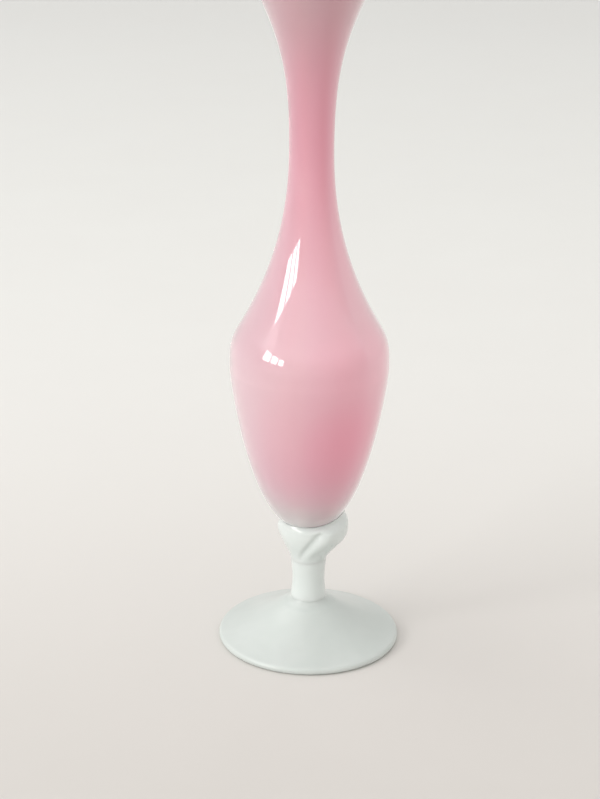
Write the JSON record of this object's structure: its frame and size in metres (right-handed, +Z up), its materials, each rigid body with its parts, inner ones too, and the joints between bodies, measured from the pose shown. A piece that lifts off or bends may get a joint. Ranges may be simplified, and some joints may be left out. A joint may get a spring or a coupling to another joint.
{
  "type": "glass bud vase",
  "caption": "Tall footed bud vase in rose glass over a white opal lining, with a narrow flared neck, a pear-shaped bowl, a twisted knop, a short stem and a spread white foot.",
  "frame": {"origin": "centre of the foot, on the plane that the vase rests on", "axes": "+Z up along the vase's axis, from foot to lip; +X towards the side where the knop bulges most"},
  "size_m": [0.0634, 0.0634, 0.24],
  "materials": {
    "foot_opal": "fire-polished opal glass, pale mint white",
    "stem_opal": "fire-polished opal glass, white with a cool tint",
    "rose_glass": "glossy rose glass overlay, cloudy",
    "lining_opal": "glossy white opal glass"
  },
  "bodies": {
    "root": {"foot": "foot_opal", "stem": "stem_opal", "twisted_knop": "stem_opal", "joining_wafer": "stem_opal", "rose_casing": "rose_glass", "opal_lining": "lining_opal"}
  },
  "joints": []
}
